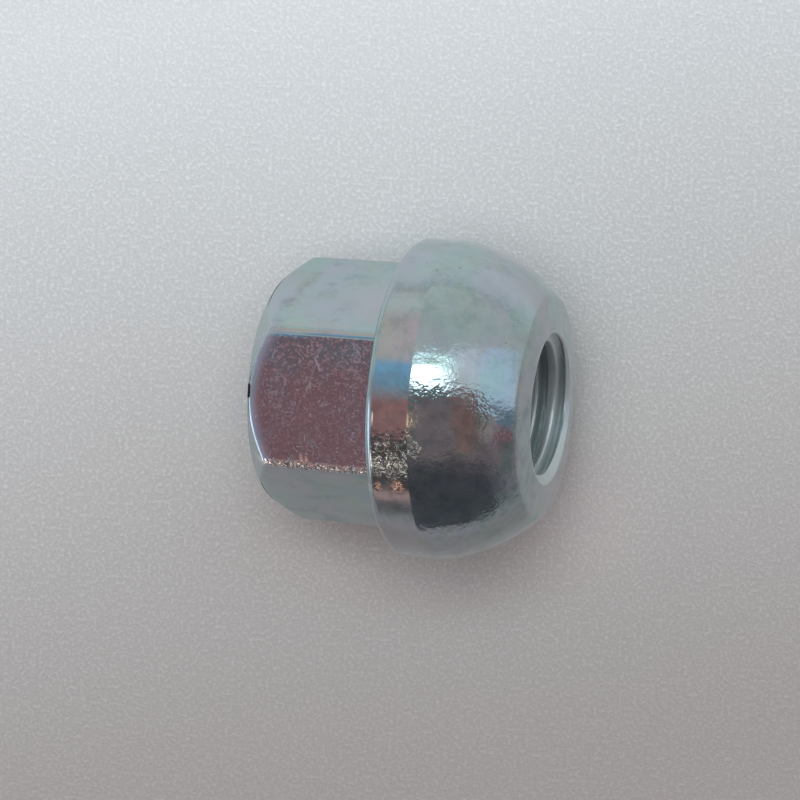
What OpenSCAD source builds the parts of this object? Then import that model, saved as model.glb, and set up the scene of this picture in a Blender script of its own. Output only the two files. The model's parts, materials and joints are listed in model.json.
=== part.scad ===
// Open-ended lug nut with a ball seat, in one piece of zinc-plated steel.
// It lies on its side: one hexagon flat and the collar's rim touch the surface below it,
// and the seat end points along +X, tilted up.

/* [Hexagon] */
// Width across the hexagon's flats
hex_af = 18.85; // [17:0.05:21]
// Length of the hexagon, from the end face to the collar
hex_len = 10.9; // [8:0.1:18]
// Rounding of the hexagon's six long edges
hex_edge_r = 0.8; // [0.2:0.1:2]
// How far the edge of the flat end face lies inside the flats
end_inset = 0.225; // [0.05:0.025:1.5]
// Angle of the end chamfer, measured from the nut's axis
end_chamfer = 42; // [25:1:60]

/* [Collar] */
// Diameter of the round collar
collar_d = 25.7; // [24.5:0.1:25.9]
// Length of the collar's straight band
collar_band = 3.5; // [1:0.1:8]
// Rounding of the collar's rear rim
collar_rim_r = 0.7; // [0.1:0.05:1]

/* [Ball seat] */
// Radius of the ball that the seat is a part of
seat_r = 13; // [12.9:0.1:16]
// Diameter of the nose, where the ball ends
nose_d = 17.8; // [16:0.1:21]
// Height of the shallow crown between the nose's edge and the mouth
nose_rise = 0.35; // [0.1:0.05:1]

/* [Thread] */
// Nominal diameter of the thread
thread_d = 12; // [10:0.5:14]
// Pitch of the thread
thread_pitch = 1.5; // [1:0.25:2]
// How far the countersink at each end opens outside the thread
mouth_margin = 0.1; // [0.05:0.05:0.6]
// Included angle of the countersinks
mouth_angle = 100; // [60:5:120]

/* [Hidden] */

$fn = 96;
zinc = [0.72, 0.77, 0.79];
// How far a cutting shape runs past the face that it cuts
overcut = 1;
// Overlap that lets a flat and the rounding beside it join in one clean edge
blend = 0.0005;
hex_sides = 6;
side_angle = 360 / hex_sides;

// Radii on the nut's own axis
hex_flat_r = hex_af / 2;
hex_corner_r = hex_flat_r / cos(side_angle / 2);
end_face_r = hex_flat_r - end_inset;
collar_r = collar_d / 2;
nose_r = nose_d / 2;
mouth_r = thread_d / 2 + mouth_margin;
// The plain wall that the thread is cut in, at its tapping size
bore_r = (thread_d - thread_pitch) / 2;

// Stations along the nut's own axis, from the end face at zero
collar_front = hex_len + collar_band;
seat_centre = collar_front - sqrt(max(0, seat_r * seat_r - collar_r * collar_r));
nose_edge = seat_centre + sqrt(seat_r * seat_r - nose_r * nose_r);
nut_len = nose_edge + nose_rise;
nose_slope = nose_rise / (nose_r - mouth_r);
mouth_depth = (mouth_r - bore_r) / tan(mouth_angle / 2);

// The end chamfer reaches the middle of a flat at this station
flat_tip = end_inset / tan(end_chamfer);

// Lying tilt: the line from the lower flat's tip that just touches the rim's rounding
rim_run = hex_len + collar_rim_r - flat_tip;
rim_drop = collar_r - collar_rim_r - hex_flat_r;
rim_reach = sqrt(rim_run * rim_run + rim_drop * rim_drop);
lying_tilt = atan2(rim_drop, rim_run) + asin(collar_rim_r / rim_reach);

// Lowest point and both ends of the lying nut, before it is set on the surface
floor_z = flat_tip * sin(lying_tilt) - hex_flat_r * cos(lying_tilt);
tail_x = -end_face_r * sin(lying_tilt);
nose_x = nose_edge * cos(lying_tilt) + nose_r * sin(lying_tilt);
mouth_x = nut_len * cos(lying_tilt) + mouth_r * sin(lying_tilt);
head_x = max(nose_x, mouth_x);

// Hexagon with round edges: a twelve-sided core and a circle in each corner
module hex_outline() {
  centre_r = hex_corner_r - hex_edge_r / cos(side_angle / 2);
  core_half = centre_r * sin(side_angle / 2);
  for (i = [0 : hex_sides - 1]) {
    rotate(i * side_angle) {
      translate([0, -core_half]) square([hex_flat_r, 2 * core_half]);
      rotate(side_angle / 2) translate([centre_r, 0]) circle(r = hex_edge_r + blend);
    }
  }
  rotate(side_angle / 2) circle(r = centre_r, $fn = hex_sides);
}

// Cone that turns the outer end of the hexagon down to its round end face
module end_cone() {
  run = hex_len + overcut;
  cylinder(h = run, r1 = end_face_r, r2 = end_face_r + run * tan(end_chamfer));
}

module hexagon() {
  intersection() {
    linear_extrude(hex_len + collar_band / 2) hex_outline();
    end_cone();
  }
}

// Half section of a plain collar that runs on past the nose, with its rear rim rounded
module collar_section() {
  rim_r = collar_r - collar_rim_r;
  rim_z = hex_len + collar_rim_r;
  top_z = nut_len + overcut;
  translate([0, hex_len]) square([rim_r, top_z - hex_len]);
  translate([0, rim_z]) square([collar_r, top_z - rim_z]);
  translate([rim_r, rim_z]) circle(r = collar_rim_r);
}

// Half section of the ball, full width behind its centre, where the collar is straight
module ball_section() {
  translate([0, seat_centre]) circle(r = seat_r);
  translate([0, seat_centre - nut_len]) square([collar_r + overcut, nut_len]);
}

// Half section of all that lies behind the crowned nose, a flat cone about the axis
module nose_section() {
  polygon([
    [0, 0],
    [collar_r, 0],
    [collar_r, nut_len - nose_slope * (collar_r - mouth_r)],
    [0, nut_len + nose_slope * mouth_r]
  ]);
}

module head() {
  rotate_extrude() {
    intersection() {
      collar_section();
      ball_section();
      nose_section();
    }
  }
}

// Bore at tapping size, with a countersink at each end
module threaded_bore() {
  flare = overcut * tan(mouth_angle / 2);
  translate([0, 0, -overcut]) cylinder(h = nut_len + 2 * overcut, r = bore_r);
  for (end = [0, 1]) {
    translate([0, 0, end * nut_len])
      mirror([0, 0, end])
        translate([0, 0, -overcut])
          cylinder(h = mouth_depth + overcut, r1 = mouth_r + flare, r2 = bore_r);
  }
}

// Sets a nut that was made along +Z on its side, on the surface at zero
module laid_down() {
  translate([-(tail_x + head_x) / 2, 0, -floor_z])
    rotate([0, 90 - lying_tilt, 0])
      children();
}

module lug_nut() {
  color(zinc)
    laid_down()
      difference() {
        union() {
          hexagon();
          head();
        }
        threaded_bore();
      }
}

lug_nut();
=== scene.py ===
# %% [markdown]
# # A lug nut lying on a pale sheet
# The nut is one piece of steel: a hexagon for the wrench, a round collar, a ball that seats in a
# wheel, and a thread right through it. It was zinc plated and then knocked about in a box with
# others, so it is bright, faintly blue and full of small scratches.
# The frame holds the plain solid at its true size and place. This lesson makes the surface that
# shows, and the surroundings that the bright plating mirrors.

# %% Load the frame
import json
import math

import bmesh
import bpy
from mathutils import Matrix, Vector


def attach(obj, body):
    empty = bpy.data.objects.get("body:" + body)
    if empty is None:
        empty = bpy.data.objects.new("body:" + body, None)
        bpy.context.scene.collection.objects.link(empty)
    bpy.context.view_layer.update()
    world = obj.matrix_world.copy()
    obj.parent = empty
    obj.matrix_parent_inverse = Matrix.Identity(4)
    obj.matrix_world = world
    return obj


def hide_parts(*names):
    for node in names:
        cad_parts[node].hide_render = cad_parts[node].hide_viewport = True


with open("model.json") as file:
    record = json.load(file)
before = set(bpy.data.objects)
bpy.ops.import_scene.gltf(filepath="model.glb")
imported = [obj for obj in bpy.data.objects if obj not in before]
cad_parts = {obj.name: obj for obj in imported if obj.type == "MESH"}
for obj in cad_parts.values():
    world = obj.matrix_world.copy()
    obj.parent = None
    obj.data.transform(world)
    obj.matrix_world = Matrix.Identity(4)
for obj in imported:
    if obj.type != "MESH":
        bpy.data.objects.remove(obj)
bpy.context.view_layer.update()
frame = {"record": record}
MM = 0.001
MICRON = 1e-6

# %% [markdown]
# ## The nut's own axes
# Every size on a nut is measured along its axis or out from it, so a point on it has a station
# (along the axis, from the end face), a radius, and a turn (round the axis). The nut lies tilted
# on one flat and its collar, and the frame's thread mount says how its axis runs. A turn of zero
# is the flat that faces up, and the turn grows towards +Y.

# %% Axes from the thread mount
mounts = {mount["name"]: mount for mount in frame["record"]["mounts"]}
AXIS = Vector(mounts["thread"]["axis"]).normalized()
ACROSS = Vector((0, 1, 0))
UPWARD = AXIS.cross(ACROSS).normalized()
BALL_CENTRE = Vector(mounts["ball_seat"]["pos_m"])
MIDDLE = Vector(mounts["thread"]["pos_m"])
BORE_R = mounts["thread"]["dims"]["r_mm"]
print("the axis rises by", round(math.degrees(math.asin(AXIS.z)), 2), "degrees")

# %% [markdown]
# ## Camera
# The nut was looked at from almost straight above, from close by, with a long lens. The place of
# the camera, the point that it looks at and the turn of the picture were worked out from where
# the corners of the hexagon, the collar and the mouth lie in the picture.

# %% Camera looking down
CAMERA_AT = Vector((2.438, 17.960, 213.121)) * MM
LOOK_AT = Vector((-1.194, -0.285, 12.514)) * MM
PICTURE_TURN = math.radians(3.09)
LENS = 112.5
SENSOR = 36.0
NEAR_CLIP = 0.01

camera_data = bpy.data.cameras.new("camera")
camera_data.lens = LENS
camera_data.sensor_width = SENSOR
camera_data.clip_start = NEAR_CLIP
camera = bpy.data.objects.new("camera", camera_data)
bpy.context.scene.collection.objects.link(camera)
forward = (LOOK_AT - CAMERA_AT).normalized()
picture_right = Vector((math.cos(PICTURE_TURN), math.sin(PICTURE_TURN), 0))
right = (picture_right - forward * picture_right.dot(forward)).normalized()
top = right.cross(forward)
facing = Matrix((right, top, -forward)).transposed().to_4x4()
camera.matrix_world = Matrix.Translation(CAMERA_AT) @ facing
bpy.context.scene.camera = camera
print("camera distance in mm:", round((LOOK_AT - CAMERA_AT).length / MM, 1))

# %% [markdown]
# ## The hexagon's outline
# A wrench hexagon has flat sides and round long edges, left by the die. In polar form it is one
# formula: out to the flat near the middle of a side, and out to the edge's small circle near a
# corner. A polar form fits here because the whole nut can then be one grid of columns round the
# axis and rows along it.

# %% Radius of the hexagon at any turn
HEX_FLAT_R = 18.85 / 2
HEX_EDGE_R = 0.8
SIDES = 6
SIDE = 360.0 / SIDES
edge_centre_r = (HEX_FLAT_R - HEX_EDGE_R) / math.cos(math.radians(SIDE / 2))
flat_half = edge_centre_r * math.sin(math.radians(SIDE / 2))
flat_turn = math.degrees(math.atan2(flat_half, HEX_FLAT_R))


def hexagon_radius(turn):
    """Distance from the axis to the hexagon's surface, in mm."""
    off = abs((turn + SIDE / 2) % SIDE - SIDE / 2)
    if off <= flat_turn:
        return HEX_FLAT_R / math.cos(math.radians(off))
    beside = math.radians(SIDE / 2 - off)
    reach = HEX_EDGE_R ** 2 - (edge_centre_r * math.sin(beside)) ** 2
    return edge_centre_r * math.cos(beside) + math.sqrt(reach)


print("flats", 2 * HEX_FLAT_R, "corners", round(2 * hexagon_radius(SIDE / 2), 2), "mm")

# %% [markdown]
# ## Columns round the axis
# A flat needs few columns and a round edge needs many, so the columns are not evenly spaced.
# One narrow column right beside each edge keeps the edge's bent shading from leaking over the
# flat. The same columns serve the collar, the ball and the thread.

# %% Turns of the columns
FLAT_STEPS = 11
EDGE_STEPS = 5
GUARD_TURN = 0.25

half_turns = [(flat_turn - GUARD_TURN) * step / FLAT_STEPS for step in range(FLAT_STEPS + 1)]
for step in range(EDGE_STEPS):
    lean = math.radians(SIDE / 2 * step / EDGE_STEPS)
    along = edge_centre_r * math.cos(math.radians(SIDE / 2)) + HEX_EDGE_R * math.cos(lean)
    beside = flat_half + HEX_EDGE_R * math.sin(lean)
    half_turns.append(math.degrees(math.atan2(beside, along)))
turns = []
for side in range(SIDES):
    turns += [side * SIDE - turn for turn in reversed(half_turns[1:])]
    turns += [side * SIDE + turn for turn in half_turns]
    turns.append(side * SIDE + SIDE / 2)
COLUMNS = len(turns)
print(COLUMNS, "columns")

# %% [markdown]
# ## One column from the rear mouth to the front mouth
# A lathe turns the end, the collar, the ball and the nose, so along any one turn the surface is a
# simple path of lines and arcs. Real corners are never quite sharp: a corner here gives up a
# short reach on both sides to a small curve, which is what catches the light on a plated edge.

# %% Helpers for a path of lines and soft corners
SOFT_STEPS = 5
LONGEST_SHARE = 0.45


def soften(before, corner, after, reach, reach_after=None):
    """Points of a small curve that replaces a sharp corner; it may reach further on one side."""
    back = before - corner
    ahead = after - corner
    start = corner + back.normalized() * min(reach, LONGEST_SHARE * back.length)
    end = corner + ahead.normalized() * min(reach_after or reach, LONGEST_SHARE * ahead.length)
    points = []
    for step in range(SOFT_STEPS + 1):
        share = step / SOFT_STEPS
        points.append(start.lerp(corner, share).lerp(corner.lerp(end, share), share))
    return points


def straight(start, end, count):
    """Points between two ends, which are left out."""
    return [start.lerp(end, step / (count + 1)) for step in range(1, count + 1)]


def arc(centre, radius, first, last, count):
    """Points on an arc in a half section, angles in degrees from straight out of the axis."""
    points = []
    for step in range(count + 1):
        angle = math.radians(first + (last - first) * step / count)
        points.append(centre + radius * Vector((math.cos(angle), math.sin(angle))))
    return points


# %% Sizes along the axis
HEX_LEN = 10.9
END_INSET = 0.225
END_CHAMFER = math.radians(42)
COLLAR_R = 25.7 / 2
COLLAR_BAND = 3.5
COLLAR_RIM_R = 0.7
SEAT_R = 13.0
NOSE_R = 17.8 / 2
NOSE_RISE = 0.35
THREAD_R = 12.0 / 2
PITCH = 1.5
MOUTH_R = THREAD_R + 0.1
MOUTH_SLOPE = math.tan(math.radians(50))

end_face_r = HEX_FLAT_R - END_INSET
collar_front = HEX_LEN + COLLAR_BAND
ball_station = collar_front - math.sqrt(SEAT_R ** 2 - COLLAR_R ** 2)
nose_edge = ball_station + math.sqrt(SEAT_R ** 2 - NOSE_R ** 2)
nut_len = nose_edge + NOSE_RISE
END_CENTRE = MIDDLE - AXIS * (nut_len / 2 * MM)
stray = (END_CENTRE + AXIS * (ball_station * MM) - BALL_CENTRE).length / MM
print("length", round(nut_len, 3), "mm; ball centre off by", round(stray, 4), "mm")

# %% [markdown]
# ## The path's corners
# The path starts and ends at a short lip in the countersinks, which is where the thread takes
# over. The lip has to lie outside the thread, or the two skins would not meet. Each corner has
# its own softness: the end chamfer rolls far over the flats, and the crease stays crisp.

# %% Rows between the corners
FACE_ROWS = 5
CHAMFER_ROWS = 3
HEX_ROWS = 44
COLLAR_FACE_ROWS = 4
RIM_ROWS = 8
BAND_ROWS = 16
BALL_ROWS = 60
NOSE_ROWS = 8

# %% Path of one column
LIP = 0.08
MOUTH_SOFT = 0.07
FACE_SOFT = 0.07
CHAMFER_SOFT = 0.20
CHAMFER_ROLL = 0.75
ROOT_SOFT = 0.35
CREASE_SOFT = 0.16
NOSE_SOFT = 0.5
GUARD = 0.04
ball_first = math.degrees(math.asin((collar_front - ball_station) / SEAT_R))
ball_last = math.degrees(math.asin((nose_edge - ball_station) / SEAT_R))


def column_path(turn):
    """Radius and station of each row of one column, from the rear countersink to the front one."""
    hex_r = hexagon_radius(turn)
    lip_r = MOUTH_R - LIP * MOUTH_SLOPE
    rear_lip = Vector((lip_r, LIP))
    rear_mouth = Vector((MOUTH_R, 0))
    face_edge = Vector((end_face_r, 0))
    chamfer_top = Vector((hex_r, (hex_r - end_face_r) / math.tan(END_CHAMFER)))
    hex_root = Vector((hex_r, HEX_LEN))
    root_guard = hex_root - Vector((0, ROOT_SOFT + GUARD))
    rim_start = Vector((COLLAR_R - COLLAR_RIM_R, HEX_LEN))
    rim_end = Vector((COLLAR_R, HEX_LEN + COLLAR_RIM_R))
    crease = Vector((COLLAR_R, collar_front))
    nose = Vector((NOSE_R, nose_edge))
    front_mouth = Vector((MOUTH_R, nut_len))
    front_lip = Vector((lip_r, nut_len - LIP))
    ball = arc(Vector((0, ball_station)), SEAT_R, ball_first, ball_last, BALL_ROWS)

    path = [rear_lip]
    path += soften(rear_lip, rear_mouth, face_edge, MOUTH_SOFT)
    path += straight(rear_mouth, face_edge, FACE_ROWS)
    path += soften(rear_mouth, face_edge, chamfer_top, FACE_SOFT)
    path += straight(path[-1], chamfer_top, CHAMFER_ROWS)
    path += soften(face_edge, chamfer_top, hex_root, CHAMFER_SOFT, CHAMFER_ROLL)
    path.append(path[-1] + Vector((0, GUARD)))
    path += straight(path[-1], root_guard, HEX_ROWS)
    path.append(root_guard)
    path += soften(chamfer_top, hex_root, rim_start, ROOT_SOFT)
    path += straight(path[-1], rim_start, COLLAR_FACE_ROWS)
    path += arc(Vector((rim_start.x, rim_end.y)), COLLAR_RIM_R, -90, 0, RIM_ROWS)
    path.append(rim_end + Vector((0, GUARD)))
    path += straight(path[-1], crease, BAND_ROWS)
    path += soften(rim_end, crease, ball[1], CREASE_SOFT)
    path += ball[1:-2]
    path += soften(ball[-3], nose, front_mouth, NOSE_SOFT)
    path += straight(path[-1], front_mouth, NOSE_ROWS)
    path += soften(nose, front_mouth, front_lip, MOUTH_SOFT)
    path.append(front_lip)
    return path


paths = [column_path(turn) for turn in turns]
ROWS = len(paths[0])
print(ROWS, "rows on the outside")

# %% [markdown]
# ## The thread
# A tap cuts a right-hand helix with 60 degree flanks into the plain bore. A screw modifier could
# sweep the profile, but its ends would stick out of the countersinks. Here the rows of the grid
# follow the helix itself: each row keeps its place in the thread's profile and climbs one pitch
# per turn. A row's radius is the larger of the thread and the countersink, so the helix runs out
# in the mouth just as a real one does. Rows that would pass an end stop at it.

# %% Profile of one pitch
GROOVE_DEPTH = THREAD_R - BORE_R
flank_run = GROOVE_DEPTH * math.tan(math.radians(30))
root_half = PITCH / 16
EDGE_RUN = 0.080
EDGE_DROP = 0.07

profile = [
    (-root_half - flank_run - EDGE_RUN, 0.0),
    (-root_half - flank_run + EDGE_RUN, EDGE_DROP),
    (-root_half - flank_run * 0.66, GROOVE_DEPTH * 0.34),
    (-root_half - flank_run * 0.33, GROOVE_DEPTH * 0.67),
    (-root_half - EDGE_RUN * 0.4, GROOVE_DEPTH - EDGE_DROP),
    (-root_half * 0.3, GROOVE_DEPTH),
    (root_half * 0.3, GROOVE_DEPTH),
    (root_half + EDGE_RUN * 0.4, GROOVE_DEPTH - EDGE_DROP),
    (root_half + flank_run * 0.33, GROOVE_DEPTH * 0.67),
    (root_half + flank_run * 0.66, GROOVE_DEPTH * 0.34),
    (root_half + flank_run - EDGE_RUN, EDGE_DROP),
    (root_half + flank_run + EDGE_RUN, 0.0),
    (root_half + flank_run + 0.14, 0.0),
    (root_half + flank_run + 0.30, 0.0),
]
PER_PITCH = len(profile)
print(PER_PITCH, "rows in each pitch, grooves", GROOVE_DEPTH, "mm deep")

# %% Helical rows
GROOVE_AT_MOUTH = 30.0
first_groove = nut_len + PITCH * GROOVE_AT_MOUTH / 360
pitches = math.ceil(nut_len / PITCH) + 2
helix_rows = []
for count in range(pitches, -2, -1):
    for run, depth in profile:
        helix_rows.append((first_groove - count * PITCH + run, BORE_R + depth))


def thread_point(row, turn):
    """Radius and station where a helical row meets a column, held between the two mouths."""
    height, radius = helix_rows[row]
    station = min(max(height - PITCH * turn / 360, LIP), nut_len - LIP)
    mouth = MOUTH_R - min(station, nut_len - station) * MOUTH_SLOPE
    return max(radius, mouth), station


print(len(helix_rows), "rows in the thread")

# %% [markdown]
# ## Joining both grids
# The outside grid and the thread share their columns, so they meet point on point at both
# countersinks. Merging those points closes the skin, and rows that were held at an end fold into
# nothing there. What is left is one watertight mesh. It is a hair smaller than the solid, so that
# no facet can stand proud of it.

# %% Points of both grids
UNDERSIZE = 0.002
nut_mesh = bpy.data.meshes.new("lug_nut_surface")
work = bmesh.new()


def on_nut(radius, station, turn):
    """Point in the frame, in metres, from the nut's own sizes in mm and degrees."""
    angle = math.radians(turn)
    out = UPWARD * math.cos(angle) + ACROSS * math.sin(angle)
    return END_CENTRE + (AXIS * station + out * (radius - UNDERSIZE)) * MM


outside = []
for row in range(ROWS):
    ring = [on_nut(path[row].x, path[row].y, turn) for path, turn in zip(paths, turns)]
    outside.append([work.verts.new(point) for point in ring])
inside = []
for row in range(len(helix_rows)):
    ring = [on_nut(*thread_point(row, turn), turn) for turn in turns]
    inside.append([work.verts.new(point) for point in ring])
print(len(work.verts), "points before merging")

# %% Faces of both grids
for row in range(ROWS - 1):
    for column in range(COLUMNS):
        beside = (column + 1) % COLUMNS
        work.faces.new((outside[row][column], outside[row][beside],
                        outside[row + 1][beside], outside[row + 1][column]))
for row in range(len(helix_rows) - 1):
    for column in range(COLUMNS):
        beside = (column + 1) % COLUMNS
        drop = PER_PITCH if beside == 0 else 0
        low = inside[max(row - drop, 0)][beside]
        high = inside[max(row + 1 - drop, 0)][beside]
        corners = [inside[row][column], inside[row + 1][column], high, low]
        if low is high:
            corners.pop()
        work.faces.new(corners)
print(len(work.faces), "faces before merging")

# %% Close the skin
MERGE = 0.0004 * MM
bmesh.ops.remove_doubles(work, verts=work.verts, dist=MERGE)
bmesh.ops.dissolve_degenerate(work, edges=work.edges, dist=MERGE)
bmesh.ops.recalc_face_normals(work, faces=work.faces)
open_edges = sum(1 for edge in work.edges if not edge.is_manifold)
triangles = sum(len(face.verts) - 2 for face in work.faces)
print(triangles, "triangles,", open_edges, "open edges")
print("volume", round(work.calc_volume() / MM ** 3, 1), "mm3")
work.to_mesh(nut_mesh)
work.free()

# %% Smooth shading that stops at sharp edges
SHARP = math.radians(35)
nut_mesh.shade_smooth()
nut_mesh.set_sharp_from_angle(angle=SHARP)
nut = bpy.data.objects.new("nut", nut_mesh)
bpy.context.scene.collection.objects.link(nut)
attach(nut, "root")
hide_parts("lug_nut")
print("shading stops at edges of", round(math.degrees(SHARP)), "degrees")

# %% [markdown]
# ## Shader maths as plain expressions
# A finish is a recipe: a mask times a colour, a noise plus a scratch. Drawn as nodes by hand it
# soon fills a screen. This small class wraps a socket, so that a recipe can be written as Python
# and every sign adds its Math node. Colours and vectors have their own methods.

# %% A socket that takes part in expressions


class Shade:
    """A socket of a node tree, for use in expressions."""

    def __init__(self, tree, socket=None):
        self.tree = tree
        self.socket = socket

    def node(self, kind, settings, sockets, out=0):
        """Add any node: its type, its settings, then its sockets' values or links."""
        made = self.tree.nodes.new(kind)
        for name, setting in settings.items():
            if name == "stops":
                set_stops(made.color_ramp.elements, setting)
            else:
                setattr(made, name, setting)
        for name, value in sockets.items():
            if isinstance(value, Shade):
                self.tree.links.new(value.socket, made.inputs[name])
            else:
                made.inputs[name].default_value = value
        return Shade(self.tree, made.outputs[out] if made.outputs else None)

    def other(self, out):
        """Another output of the node that this socket is on."""
        return Shade(self.tree, self.socket.node.outputs[out])

    def math(self, operation, first, second=0.0):
        return self.node("ShaderNodeMath", {"operation": operation}, {0: first, 1: second})

    def __add__(self, other):
        return self.math("ADD", self, other)

    def __radd__(self, other):
        return self.math("ADD", other, self)

    def __sub__(self, other):
        return self.math("SUBTRACT", self, other)

    def __rsub__(self, other):
        return self.math("SUBTRACT", other, self)

    def __mul__(self, other):
        return self.math("MULTIPLY", self, other)

    def __rmul__(self, other):
        return self.math("MULTIPLY", other, self)

    def __truediv__(self, other):
        return self.math("DIVIDE", self, other)

    def __abs__(self):
        return self.math("ABSOLUTE", self)

    def larger(self, other):
        return self.math("MAXIMUM", self, other)

    def smaller(self, other):
        return self.math("MINIMUM", self, other)

    def rise(self, low, high):
        """0 below low, 1 above high, smooth between; low may be the larger one."""
        return self.node("ShaderNodeMapRange", {"interpolation_type": "SMOOTHSTEP"},
                         {"Value": self, "From Min": low, "From Max": high})

    def near(self, centre, half, soft):
        """1 within half of the centre, 0 beyond it, with a soft edge."""
        return abs(self - centre).rise(half + soft, half - soft)

    def vector(self, operation, other, out=0):
        return self.node("ShaderNodeVectorMath", {"operation": operation}, {0: self, 1: other}, out)

    def dot(self, other):
        return self.vector("DOT_PRODUCT", other, "Value")

    def length(self):
        return self.vector("LENGTH", (0, 0, 0), "Value")

    def stretched(self, factors):
        return self.vector("MULTIPLY", factors)

    def shifted(self, offset):
        return self.vector("ADD", offset)

    def noise(self, scale, detail=2.0, rough=0.5):
        """Cloudy noise over this vector, 0 to 1."""
        return self.node("ShaderNodeTexNoise", {}, {"Vector": self, "Scale": scale,
                                                    "Detail": detail, "Roughness": rough})

    def ramp(self, stops):
        """Colours that follow this value, from stops of a value between 0 and 1 and a colour."""
        return self.node("ShaderNodeValToRGB", {"stops": stops}, {"Fac": self})

    def mix(self, mask, first, second):
        """The first colour where the mask is 0, the second where it is 1."""
        return self.node("ShaderNodeMix", {"data_type": "RGBA"}, {0: mask, 6: first, 7: second}, 2)

    def over(self, mask, cover):
        """This colour with another one laid over it where the mask is 1."""
        return self.mix(mask, self, cover)

    def bump(self):
        """Normal of a surface that has this height, in metres."""
        return self.node("ShaderNodeBump", {}, {"Strength": 1.0, "Distance": 1.0, "Height": self})


def set_stops(elements, stops):
    """Give a new colour ramp these stops instead of its own two."""
    elements.remove(elements[1])
    elements[0].position = stops[0][0]
    elements[0].color = [*stops[0][1], 1]
    for position, colour in stops[1:]:
        elements.new(position).color = [*colour, 1]


# %% A new finish


def new_finish(name):
    """A material with a Principled shader: gives the material, the shader and a first Shade."""
    material = bpy.data.materials.new(name)
    material.use_nodes = True
    material.node_tree.nodes.clear()
    first = Shade(material.node_tree)
    principled = first.node("ShaderNodeBsdfPrincipled", {}, {})
    first.node("ShaderNodeOutputMaterial", {}, {"Surface": principled})
    return material, principled.socket.node, first


def feed(shader, socket, value):
    """Link an expression to one of the shader's sockets."""
    value.tree.links.new(value.socket, shader.inputs[socket])


# %% [markdown]
# ## Zinc plate: places on it
# Bright zinc with a thin bluish passivate covers the whole nut. Marks on it have to stay where
# they are, so the finish needs the station and the turn of every point. A painted picture could
# hold the marks, but it would need a file. Here the station and the turn come from the point's
# own coordinates by plain vector maths. Unrolled like a label, they give a flat map of the skin
# in mm, on which scratches and stains are easy to draw.

# %% Station, turn and unrolled skin
MM_PER_DEGREE = 0.18
zinc, zinc_shader, on_plate = new_finish("zinc_plate")
zinc_shader.inputs["Metallic"].default_value = 1.0

place = on_plate.node("ShaderNodeTexCoord", {}, {}, "Object")
local = place.shifted([-part for part in END_CENTRE]).stretched([1 / MM] * 3)
station = local.dot(AXIS)
upward = local.dot(UPWARD)
across = local.dot(ACROSS)
radius = on_plate.math("SQRT", upward * upward + across * across)
turn = on_plate.math("ARCTAN2", across, upward) * math.degrees(1)
skin = on_plate.node("ShaderNodeCombineXYZ", {}, {"X": station, "Y": turn * MM_PER_DEGREE})
print("one degree is", MM_PER_DEGREE, "mm on the unrolled skin")

# %% Parts of the skin
MOUTH_BLEND = 0.2
outside_only = radius.rise(MOUTH_R, MOUTH_R + MOUTH_BLEND)
top_flat = turn.near(0.0, 27.9, 0.3) * station.rise(10.6, 10.4)
inland = station - (radius - end_face_r) / math.tan(END_CHAMFER)
on_round = station.rise(11.3, 11.7)
on_band = station.near(12.9, 1.2, 0.3)
on_ball = station.rise(14.2, 14.8)


def skin_place(at):
    """Station in mm and turn in degrees, as a place on the unrolled skin."""
    return Vector((at[0], at[1] * MM_PER_DEGREE, 0))


def spot(at, half, soft):
    """Mask of a small round mark."""
    return skin.shifted(-skin_place(at)).length().rise(half + soft, half - soft)


def streak(first, last, half, soft):
    """Mask of a straight mark between two places."""
    start = skin_place(first)
    run = skin_place(last) - start
    offset = skin.shifted(-start)
    share = (offset.dot(run) / run.length_squared).larger(0.0).smaller(1.0)
    nearest = on_plate.node("ShaderNodeVectorMath", {"operation": "SCALE"},
                            {0: run, "Scale": share})
    return offset.vector("SUBTRACT", nearest).length().rise(half + soft, half - soft)


# %% [markdown]
# ## Zinc plate: clouds and bruised places
# Four noises of different sizes, from wide clouds to fine grain, serve the whole finish, so that
# its tint, its gloss and its wear belong together. On one side the collar and one long edge of
# the hexagon are bruised. The film on the plating is worn off there, and the metal below glitters
# in facets, so each bruised place serves both the tint and the height.

# %% Clouds
cloud = local.shifted((5, 19, 11)).noise(0.50, 4.0, 0.62)
mottle = local.shifted((2, 3, 17)).noise(1.9, 3.0, 0.6)
grain = local.shifted((4, 4, 9)).noise(4.5, 2.0, 0.6)
smudge = local.shifted((6, 14, 5)).noise(0.8, 2.0, 0.55)

# %% Bruised places
band_bruise = turn.near(-15.5, 8.0, 3.0) * station.near(13.0, 1.40, 0.15)
band_bruise = band_bruise * (0.3 + 0.7 * mottle.rise(0.48, 0.60))
crease_bruise = streak((14.3, -7.5), (15.1, -13.5), 0.25, 0.35)
edge_bruise = turn.near(-29.2, 1.7, 0.6) * station.near(6.1, 5.2, 0.6)
# Nicks on the collar; the copper tint given to them further on is a painted warm glint.
nicks_with_copper_glint = spot((11.95, -27.9), 0.25, 0.20).larger(spot((13.5, -27.3), 0.45, 0.25))
tooth_marks = streak((4.85, -27.4), (4.78, -24.9), 0.08, 0.12)
tooth_marks = tooth_marks.larger(streak((5.28, -27.4), (5.24, -25.8), 0.08, 0.12))
bruise = band_bruise.larger(crease_bruise * 0.6).larger(edge_bruise * 0.8)
bruise = bruise.larger(nicks_with_copper_glint) * outside_only
print(len(on_plate.tree.nodes), "nodes for places, clouds and bruises")

# %% [markdown]
# ## Zinc plate: scratches
# Nuts shaken together in a box scratch each other in short straight marks in all directions. A
# Voronoi texture deals one point, and three random numbers, to each cell of the unrolled skin.
# The numbers give a mark its lean, its length and whether it is there at all. A scratch is pale
# and rough, so it shows where the plating mirrors something dark.

# %% Loose marks


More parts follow.
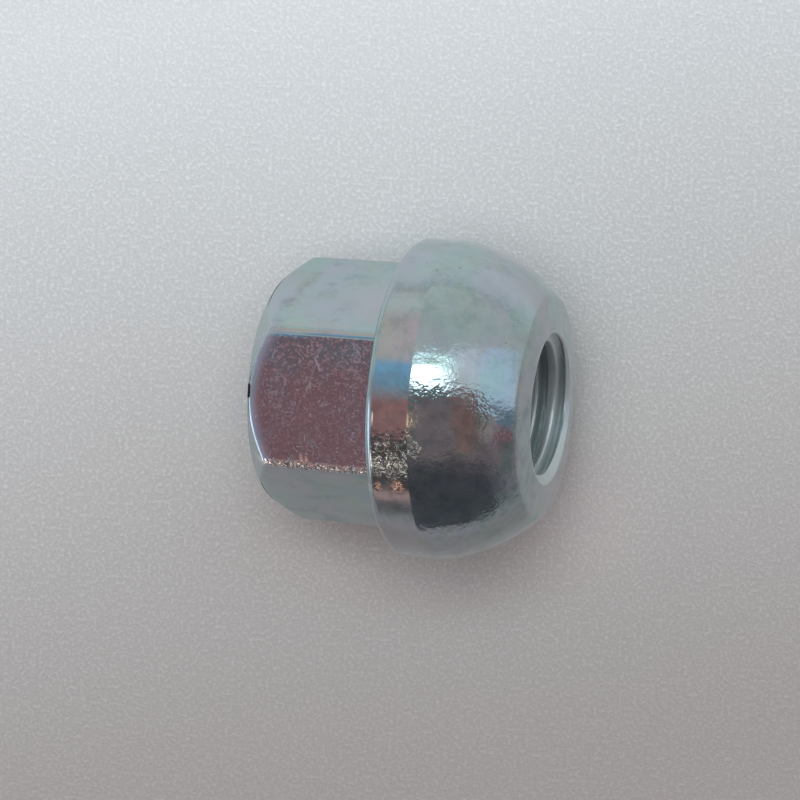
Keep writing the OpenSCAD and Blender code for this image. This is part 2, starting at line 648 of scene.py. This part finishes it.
def loose_marks(cells_per_mm, half_length, half_width, share):
    """One short straight mark, or none, in each cell of the skin."""
    cell = on_plate.node("ShaderNodeTexVoronoi", {},
                         {"Vector": skin, "Scale": cells_per_mm}, "Position")
    red = on_plate.node("ShaderNodeSeparateColor", {}, {"Color": cell.other("Color")})
    lean = red * math.pi
    half = red.other("Green") * half_length
    there = red.other("Blue").rise(share + 0.01, share)
    offset = skin.vector("SUBTRACT", cell)
    way_x = on_plate.math("COSINE", lean)
    way_y = on_plate.math("SINE", lean)
    off_x = offset.dot((1, 0, 0))
    off_y = offset.dot((0, 1, 0))
    past_end = abs(off_x * way_x + off_y * way_y) - half
    beside = abs(off_y * way_x - off_x * way_y)
    return past_end.rise(0.05, 0.0) * beside.rise(half_width * 1.8, half_width * 0.5) * there


marks = loose_marks(1.1, 0.60, 0.028, 0.30) * 0.7
marks = marks.larger(loose_marks(2.8, 0.07, 0.050, 0.14) * 0.8)
marks = marks * (0.12 + 0.88 * top_flat + 0.28 * on_round)

# %% Long scratches on the top flat
LONG_MARKS = [
    ((5.70, 16.5), (4.85, 1.5), 0.03),
    ((5.45, 15.0), (5.25, 4.0), 0.02),
    ((5.55, 19.5), (6.05, 14.0), 0.08),
    ((2.40, 12.5), (3.30, 8.5), 0.03),
    ((9.40, 26.0), (9.90, 23.6), 0.04),
    ((8.80, 25.0), (9.20, 22.6), 0.05),
    ((3.70, 24.0), (4.60, 23.4), 0.03),
    ((6.80, -9.0), (7.30, -14.0), 0.02),
]
for first, last, half in LONG_MARKS:
    marks = marks.larger(streak(first, last, half, 0.06) * 0.8)
marks = marks * outside_only
print(len(LONG_MARKS), "long scratches")

# %% [markdown]
# ## Zinc plate: tint
# The passivate is thinner here and thicker there, so the grey drifts between teal, violet and a
# little green, with smoky clouds. Big soft noises do that better than one strong one. The flat
# on top has a dusky film, which is missing along the border with the end chamfer.

# %% Drifting tint
TEAL = [0.43, 0.54, 0.54, 1]
VIOLET = [0.48, 0.52, 0.57, 1]
GREEN = [0.44, 0.56, 0.51, 1]
SMOKE = [0.33, 0.42, 0.44, 1]
FAWN = [0.45, 0.48, 0.45, 1]
violet_drift = local.noise(0.21, 2.0)
green_drift = local.shifted((31, 7, 3)).noise(0.30, 2.0)
fawn_drift = local.shifted((9, 2, 6)).noise(0.42, 3.0, 0.6)
tint = on_plate.mix(violet_drift.rise(0.40, 0.62), TEAL, VIOLET)
tint = tint.over(green_drift.rise(0.52, 0.70) * 0.8, GREEN)
tint = tint.over(cloud.rise(0.48, 0.72) * 0.70, SMOKE)
tint = tint.over(fawn_drift.rise(0.52, 0.70) * 0.60, FAWN)
tint = tint.over(mottle.rise(0.50, 0.75) * 0.20, SMOKE)

# %% Smudges on the collar and the ball
GRAPHITE = [0.27, 0.34, 0.36, 1]
PALE = [0.52, 0.60, 0.60, 1]
smudged = on_round * (0.35 + 0.65 * turn.near(-25, 32, 8))
tint = tint.over(smudge.rise(0.48, 0.36) * smudged * 0.40, GRAPHITE)
tint = tint.over(smudge.rise(0.52, 0.64) * smudged * 0.60, PALE)

# %% Film and scratches on the top flat
DUSK = [0.29, 0.39, 0.45, 1]
NIGHT = [0.22, 0.40, 0.48, 1]
ASH = [0.48, 0.54, 0.60, 1]
UMBER = [0.19, 0.28, 0.33, 1]
SCRATCH = [0.70, 0.64, 0.67, 1]
film = top_flat * inland.rise(0.3, 1.1)
tint = tint.over(inland.rise(0.3, 0.1) * 0.5, PALE)
tint = tint.over(film * 0.9, on_plate.mix(turn.rise(5, 25), DUSK, NIGHT))
tint = tint.over(film * mottle.rise(0.46, 0.62) * 0.55, UMBER)
ash_share = 0.58 + 0.34 * turn.rise(-15, 20)
tint = tint.over(film * (grain * 0.6 + mottle * 0.4).rise(0.48, 0.57) * ash_share, ASH)
tint = tint.over(marks * 0.55, SCRATCH)

# %% Places with a tint of their own, and a painted copper glint
FRESH = [0.78, 0.85, 0.86, 1]
COPPER_GLINT = [0.95, 0.74, 0.60, 1]
LILAC = [0.53, 0.51, 0.55, 1]
SLATE = [0.39, 0.51, 0.59, 1]
tint = tint.over(edge_bruise * 0.8, FRESH)
# Painted glint: copper on the nicks and tooth marks stands in for warm light glinting off them; the
# marks themselves are real wear.
tint = tint.over(nicks_with_copper_glint.larger(tooth_marks) * 0.9, COPPER_GLINT)
tint = tint.over(spot((9.0, 55.0), 2.4, 2.0) * 0.75, LILAC)
tint = tint.over(spot((21.4, 70.0), 1.6, 1.6) * 0.80, LILAC)
tint = tint.over(spot((8.6, -52.0), 1.5, 1.4) * 0.70, SLATE)
tint = tint.over(spot((12.6, -54.0), 2.0, 1.6) * 0.80, LILAC)
print(len(on_plate.tree.nodes), "nodes with scratches and tint")

# %% [markdown]
# ## Zinc plate: stains, specks and the bore
# A brown smear on one hexagon face, a few dark specks on the ball and a black spot at the end of
# the hexagon are where this nut has them. Each is a named place with a size. The bore comes last
# and covers what the marks would leave in it: its metal is bare, with painted shade in the grooves
# near the mouth.

# %% Stains, specks and a black spot
RUST = [0.25, 0.24, 0.20, 1]
OLIVE = [0.30, 0.29, 0.22, 1]
TAN = [0.56, 0.50, 0.44, 1]
SPOT_BLACK = [0.04, 0.04, 0.04, 1]
SPECKS = [
    ((13.33, 60.0), 0.10), ((14.42, 55.7), 0.14), ((15.99, 60.2), 0.16), ((20.62, 32.8), 0.10),
    ((21.67, -44.3), 0.20), ((15.50, -63.8), 0.12), ((4.67, -36.4), 0.08), ((5.62, -60.9), 0.12),
]
smear = streak((2.0, 48.0), (2.9, 76.0), 0.20, 0.70) * mottle.rise(0.20, 0.66)
tint = tint.over(smear * 0.75, OLIVE)
tint = tint.over(streak((1.3, 32.6), (8.2, 34.2), 0.05, 0.28) * 0.55, TAN)
for at, size in SPECKS:
    tint = tint.over(spot(at, size * 0.5, size * 0.8) * 0.8, RUST)
# A black spot painted on the chamfer's edge at the end of the hexagon.
black_spot = streak((0.1, -0.4), (0.1, 4.2), 0.22, 0.05) * radius.rise(8.9, 9.0)
tint = tint.over(black_spot, SPOT_BLACK)
print(len(SPECKS), "specks")

# %% Bare bore with painted shade in its grooves
BARE = [0.70, 0.76, 0.76, 1]
GROOVE_SHADE = [0.20, 0.29, 0.28, 1]
mouth_gap = nut_len - station
past_mouth = (radius + mouth_gap * MOUTH_SLOPE).rise(MOUTH_R + 0.1, MOUTH_R + 0.3)
# Painted shade: the thread grooves near the mouth are darkened.
painted_groove_shade = radius.rise(5.40, 5.75) * past_mouth * mouth_gap.rise(3.5, 1.5)
tint = tint.over(1 - outside_only, on_plate.mix(painted_groove_shade * 0.35, BARE, GROOVE_SHADE))
feed(zinc_shader, "Base Color", tint)

# %% Roughness
PLATE_ROUGHNESS = 0.09
CLOUD_ROUGHNESS = 0.10
MOTTLE_ROUGHNESS = 0.05
SCRATCH_ROUGHNESS = 0.24
BLACK_SPOT_ROUGHNESS = 0.4
BORE_ROUGHNESS = 0.50
haze = turn.rise(0, 27) * 0.06 + mottle.rise(0.35, 0.75) * 0.04 + grain.rise(0.45, 0.75) * 0.07
roughness = PLATE_ROUGHNESS + CLOUD_ROUGHNESS * cloud.rise(0.35, 0.70)
roughness = roughness + MOTTLE_ROUGHNESS * mottle.rise(0.40, 0.70) + top_flat * haze
roughness = roughness + marks * SCRATCH_ROUGHNESS + black_spot * BLACK_SPOT_ROUGHNESS
roughness = roughness * outside_only + BORE_ROUGHNESS * (1 - outside_only)
feed(zinc_shader, "Roughness", roughness)
print("roughness from", PLATE_ROUGHNESS, "on the plate to", BORE_ROUGHNESS, "in the bore")

# %% [markdown]
# ## Zinc plate: waves, dents and facets
# The forged skin below the plating is slightly wavy, which makes mirrored edges ragged. Dents, a
# slash, a burr and the facets of the bruised places come on top, and the top flat rolls down a
# little along two of its borders. These are far too fine for the mesh, so all of it is height in
# microns, added up and given to one bump.

# %% Waves and ripples, in microns
WAVE = 5.0
BALL_WAVE = 38.0
RIPPLE = 2.0
BAND_RIPPLE = 3.0
BALL_RIPPLE = 5.0
ZONE_RIPPLE = 11.0
DENT_RIPPLE = 28.0
waves = (local.noise(0.9, 3.0, 0.6) - 0.5) * (WAVE + BALL_WAVE * on_ball)
ripple_zone = local.shifted((7, 7, 2)).noise(0.35, 1.0).rise(0.40, 0.60)
dent_zone = turn.near(7.5, 4.0, 4.0) * station.near(16.0, 2.0, 1.2)
dent_zone = dent_zone.larger(spot((19.6, 4.0), 1.1, 0.9))
ball_ripple = on_ball * (BALL_RIPPLE + ZONE_RIPPLE * ripple_zone)
ripple_height = RIPPLE + on_band * BAND_RIPPLE + ball_ripple + dent_zone * DENT_RIPPLE
ripple = (local.shifted((1, 6, 12)).noise(2.4, 2.0, 0.6) - 0.5) * ripple_height
print("waves of", WAVE, "microns,", WAVE + BALL_WAVE, "on the ball")

# %% Wear in the height, in microns, and the bump
SLASH = 14.0
BURR = 20.0
FACET = 115.0
BORDER_ROLL = 45.0
EDGE_ROLL = 60.0
TOOTH_MARK = 22.0
slash = streak((15.75, 7.2), (16.62, 10.8), 0.02, 0.14) * SLASH
burr = streak((11.62, -0.8), (11.62, -6.0), 0.03, 0.10) * BURR
facets = (local.shifted((3, 8, 21)).noise(2.7, 1.0, 0.5) - 0.5) * FACET
border_roll = top_flat * inland.rise(0.0, 1.3) * BORDER_ROLL
edge_roll = turn.rise(29.4, 26.4) * station.rise(6.0, 4.0) * EDGE_ROLL
height = waves + ripple + slash + burr + border_roll + edge_roll
height = height + tooth_marks * TOOTH_MARK + facets * bruise
feed(zinc_shader, "Normal", (height * MICRON).bump())
nut_mesh.materials.append(zinc)
print(len(zinc.node_tree.nodes), "nodes in the zinc plate")

# %% [markdown]
# ## Floor
# The nut lies on a pale plastic sheet with a fine pebbled grain. Light and shade are painted into
# its colour: it is graded from cool and pale on the far side to a darker, warmer grey on the near
# side, and paler again further out; a pinkish shadow is painted just under the nut, and a paler
# pool of light beside it. One plane will do for it, because a noise can give both the grain's
# relief and its paler tops, which are partly a painted highlight.

# %% Sheet
SHEET_SIZE = 3.0
half_sheet = SHEET_SIZE / 2
sheet_mesh = bpy.data.meshes.new("sheet")
sheet_corners = [(-half_sheet, -half_sheet, 0), (half_sheet, -half_sheet, 0),
                 (half_sheet, half_sheet, 0), (-half_sheet, half_sheet, 0)]
sheet_mesh.from_pydata(sheet_corners, [], [(0, 1, 2, 3)])
sheet = bpy.data.objects.new("sheet", sheet_mesh)
bpy.context.scene.collection.objects.link(sheet)
print("sheet", SHEET_SIZE, "m wide")

# %% Painted light and shade over the sheet, and pebbled grain
FAR_SHEET = [0.68, 0.71, 0.71, 1]
SHADED_NEAR_SHEET = [0.35, 0.32, 0.30, 1]
PAINTED_SHADOW_PINK = [0.35, 0.28, 0.26, 1]
PAINTED_SIDE_LIGHT = [0.47, 0.41, 0.40, 1]
SHEET_PAST_SHADE = [0.43, 0.40, 0.40, 1]
PALE_GRAIN_TOP_AND_HIGHLIGHT = [0.92, 0.93, 0.93, 1]
GRADE_START = -40.0
GRADE_RUN = 75.0
SHEET_ROUGHNESS = 0.55
PEBBLE_HEIGHT = 115 * MICRON
pale, pale_shader, on_sheet = new_finish("pale_sheet")
sheet_place = on_sheet.node("ShaderNodeTexCoord", {}, {}, "Object").stretched([1 / MM] * 3)
pebble = sheet_place.noise(3.3, 2.0, 0.6)
far_side = (sheet_place.dot((-0.23, 1, 0)) - GRADE_START) / GRADE_RUN
grade = on_sheet.math("POWER", far_side.larger(0.0).smaller(1.0), 1.5)
painted_shadow_distance = sheet_place.shifted((2, 14, 0)).stretched((0.045, 0.11, 0)).length()
painted_light_distance = sheet_place.shifted((-14, 10, 0)).length()
# Painted shade: the sheet darkens and warms from the far side to the near side.
sheet_colour = on_sheet.mix(grade, SHADED_NEAR_SHEET, FAR_SHEET)
# Painted shadow with a pink tint on the sheet, just south of the nut.
sheet_colour = sheet_colour.over(painted_shadow_distance.rise(1.0, 0.2) * 0.25, PAINTED_SHADOW_PINK)
# Painted light: a paler, pinkish pool on the sheet beside the ball, on its south side.
sheet_colour = sheet_colour.over(painted_light_distance.rise(9.0, 2.0) * 0.5, PAINTED_SIDE_LIGHT)
# Painted light: further out on the near side, past the painted shade, the sheet is paler again.
sheet_colour = sheet_colour.over(sheet_place.dot((0, -1, 0)).rise(50, 85), SHEET_PAST_SHADE)
# Paler grain tops, partly the sheet's own and partly a painted highlight that grows with the
# painted light towards the far side.
sheet_colour = sheet_colour.over(pebble.rise(0.45, 0.72) * (0.08 + 0.40 * grade), PALE_GRAIN_TOP_AND_HIGHLIGHT)
feed(pale_shader, "Base Color", sheet_colour)
feed(pale_shader, "Normal", (pebble * PEBBLE_HEIGHT).bump())
pale_shader.inputs["Roughness"].default_value = SHEET_ROUGHNESS
sheet_mesh.materials.append(pale)
print(len(pale.node_tree.nodes), "nodes in the pale sheet")

# %% [markdown]
# ## The room that the plating mirrors
# A bright nut shows its surroundings more than itself, so the room matters as much as the finish.
# A picture of a room could be put round the scene, but patches of plain colour are easier to
# steer. They are painted on the world, each at so many degrees east (+X) and north (+Y) of
# straight up. A camera ray that misses the sheet sees a plain pale backdrop instead.

# %% Directions of the room
world = bpy.data.worlds.new("room")
world.use_nodes = True
world.node_tree.nodes.clear()
bpy.context.scene.world = world
in_room = Shade(world.node_tree)
ray = in_room.node("ShaderNodeTexCoord", {}, {}, "Generated")
tilt = in_room.math("ARCCOSINE", ray.dot((0, 0, 1))) * math.degrees(1)
heading = ray.stretched((1, 1, 0)).vector("NORMALIZE", (0, 0, 0))
east = tilt * heading.dot((1, 0, 0))
north = tilt * heading.dot((0, 1, 0))
sky = in_room.node("ShaderNodeCombineXYZ", {}, {"X": east, "Y": north})


def patch(at, half, soft):
    """Mask of a patch with round corners: centre and half size in degrees, softness as a share."""
    scale = (1 / half[0], 1 / half[1], 0)
    offset = (-at[0] / half[0], -at[1] / half[1], 0)
    reach = in_room.node("ShaderNodeVectorMath", {"operation": "MULTIPLY_ADD"},
                         {0: sky, 1: scale, 2: offset})
    squares = reach.vector("MULTIPLY", reach)
    return squares.dot(squares).rise((1 + soft) ** 4, (1 - soft) ** 4)


# %% Walls and windows of the room
ROOM_SOUTH = [0.26, 0.24, 0.26, 1]
ROOM_NORTH = [0.57, 0.59, 0.60, 1]
ROOM_FAR_NORTH = [0.69, 0.70, 0.70, 1]
ROOM = [
    # dim wall to the south, nearly black at its foot, with grey, reddish and dark hangings
    ((8, -20), (44, 30), 0.17, (0.24, 0.18, 0.19)),
    ((2, -80), (46, 36), 0.35, (0.08, 0.08, 0.09)),
    ((14, -23), (5, 5), 0.7, (0.33, 0.27, 0.30)),
    ((24, -9), (9, 20), 0.25, (0.30, 0.16, 0.15)),
    ((33, -6), (3, 9), 0.5, (0.17, 0.14, 0.14)),
    ((42, -17), (5, 8), 0.45, (0.37, 0.29, 0.30)),
    # sky in a window high in the east, and three things on its sill
    ((23, 27), (14, 13), 0.3, (0.78, 0.83, 0.87)),
    ((48, 19), (15, 20), 0.22, (0.62, 0.78, 0.94)),
    ((54, -8), (5, 5), 0.5, (0.13, 0.26, 0.34)),
    ((57, -36), (5, 12), 0.5, (0.16, 0.18, 0.16)),
    ((52, -21), (3, 3.5), 0.5, (0.32, 0.08, 0.09)),
    # mauve curtain far in the west
    ((-56, -6), (11, 22), 0.25, (0.40, 0.37, 0.48)),
]
room = in_room.mix(north.rise(-25, 25), ROOM_SOUTH, ROOM_NORTH)
room = room.over(north.rise(60, 95), ROOM_FAR_NORTH)
for at, half, soft, colour in ROOM:
    room = room.over(patch(at, half, soft), [*colour, 1])

# %% Striped hanging in the west
STRIPES = [
    (-88, (0.16, 0.14, 0.15)), (-78, (0.16, 0.14, 0.15)),
    (-75, (0.50, 0.34, 0.31)), (-67, (0.50, 0.34, 0.31)),
    (-65, (0.10, 0.08, 0.08)), (-50, (0.10, 0.08, 0.08)),
    (-48, (1.50, 1.20, 1.05)), (-46, (1.50, 1.20, 1.05)),
    (-44, (0.10, 0.08, 0.08)), (-26, (0.10, 0.08, 0.08)),
    (-20, (0.44, 0.20, 0.20)), (1, (0.44, 0.20, 0.20)),
    (3, (0.38, 0.29, 0.32)), (8, (0.38, 0.29, 0.32)),
    (10, (0.26, 0.42, 0.59)), (18.5, (0.26, 0.42, 0.59)),
    (20, (0.17, 0.30, 0.44)),
    (21.5, (0.28, 0.51, 0.76)), (28.5, (0.28, 0.51, 0.76)),
    (31, (0.70, 0.58, 0.57)), (64, (0.70, 0.58, 0.57)), (72, (0.69, 0.70, 0.70)),
]
stops = [((degrees + 90) / 180, colour) for degrees, colour in STRIPES]
striped = ((north + 90) / 180).ramp(stops)
room = room.over(east.near(-35, 13, 4), striped)

# %% Lamps
BACKDROP = [0.62, 0.63, 0.64, 1]
LAMPS = [
    # window low in the west, and a cream, a gold and a white lamp
    ((-86, -34), (21, 30), 0.2, (1.50, 1.58, 1.85)),
    ((-50, -44), (5, 4), 0.3, (3.60, 2.60, 2.30)),
    ((-20, -11), (3, 3), 0.4, (2.30, 1.55, 0.95)),
    ((-13, -30), (1.5, 2), 0.5, (1.50, 1.43, 1.30)),
    # ceiling lamp with a bluish rim and a dark shade below it
    ((-1, 9.5), (17, 4.5), 0.35, (0.12, 0.18, 0.20)),
    ((-4, 30.5), (13, 2.5), 0.7, (0.90, 1.35, 1.40)),
    ((-5, 21.5), (14.5, 6.5), 0.2, (3.60, 3.90, 4.00)),
]
for at, half, soft, colour in LAMPS:
    room = room.over(patch(at, half, soft), [*colour, 1])
seen_by_camera = in_room.node("ShaderNodeLightPath", {}, {}, "Is Camera Ray")
room = room.over(seen_by_camera, BACKDROP)
background = in_room.node("ShaderNodeBackground", {}, {"Color": room})
in_room.node("ShaderNodeOutputWorld", {}, {"Surface": background})
print(len(ROOM) + len(LAMPS), "patches and", len(STRIPES), "stops of stripes in the room")

# %% [markdown]
# ## Lamp and dark card
# A large soft lamp above fills in the shadow on the sheet. It isn't mirrored in the plating, which
# has the room for that. A dark card stands just outside the picture on the near side. Only the
# plating sees it, and it gives the ball its dark lower half.

# %% Large soft lamp
LAMP_AT = Vector((-40, 60, 420)) * MM
LAMP_SIZE = 300 * MM
LAMP_WATTS = 1.03
LAMP_COLOUR = (0.92, 0.97, 1.0)
lamp_data = bpy.data.lights.new("soft_lamp", "AREA")
lamp_data.shape = "DISK"
lamp_data.size = LAMP_SIZE
lamp_data.energy = LAMP_WATTS
lamp_data.color = LAMP_COLOUR
lamp = bpy.data.objects.new("soft_lamp", lamp_data)
bpy.context.scene.collection.objects.link(lamp)
lamp.location = LAMP_AT
lamp.rotation_euler = (-LAMP_AT).to_track_quat("-Z", "Y").to_euler()
lamp.visible_glossy = False
lamp.visible_camera = False
print("lamp of", LAMP_WATTS, "W,", round(LAMP_AT.length / MM), "mm away")

# %% Dark card
CARD_Y = -135 * MM
CARD_WEST = -25 * MM
CARD_EAST = 95 * MM
CARD_HEIGHT = 60 * MM
CARD_COLOUR = (0.10, 0.10, 0.11, 1)
CARD_ROUGHNESS = 0.9
card_mesh = bpy.data.meshes.new("dark_card")
card_corners = [(CARD_WEST, CARD_Y, 0), (CARD_EAST, CARD_Y, 0),
                (CARD_EAST, CARD_Y, CARD_HEIGHT), (CARD_WEST, CARD_Y, CARD_HEIGHT)]
card_mesh.from_pydata(card_corners, [], [(0, 1, 2, 3)])
card = bpy.data.objects.new("dark_card", card_mesh)
bpy.context.scene.collection.objects.link(card)
card.visible_camera = False
card.visible_diffuse = False
card.visible_shadow = False
black, black_shader, _ = new_finish("black_card")
black_shader.inputs["Base Color"].default_value = CARD_COLOUR
black_shader.inputs["Roughness"].default_value = CARD_ROUGHNESS
card_mesh.materials.append(black)
print("card", round((CARD_EAST - CARD_WEST) / MM), "by", round(CARD_HEIGHT / MM), "mm")

# %% [markdown]
# ## Closing
# The standard view transform keeps colours as they were set. The surface must not outgrow the
# solid that it stands for.

# %% View transform
bpy.context.scene.view_settings.view_transform = "Standard"
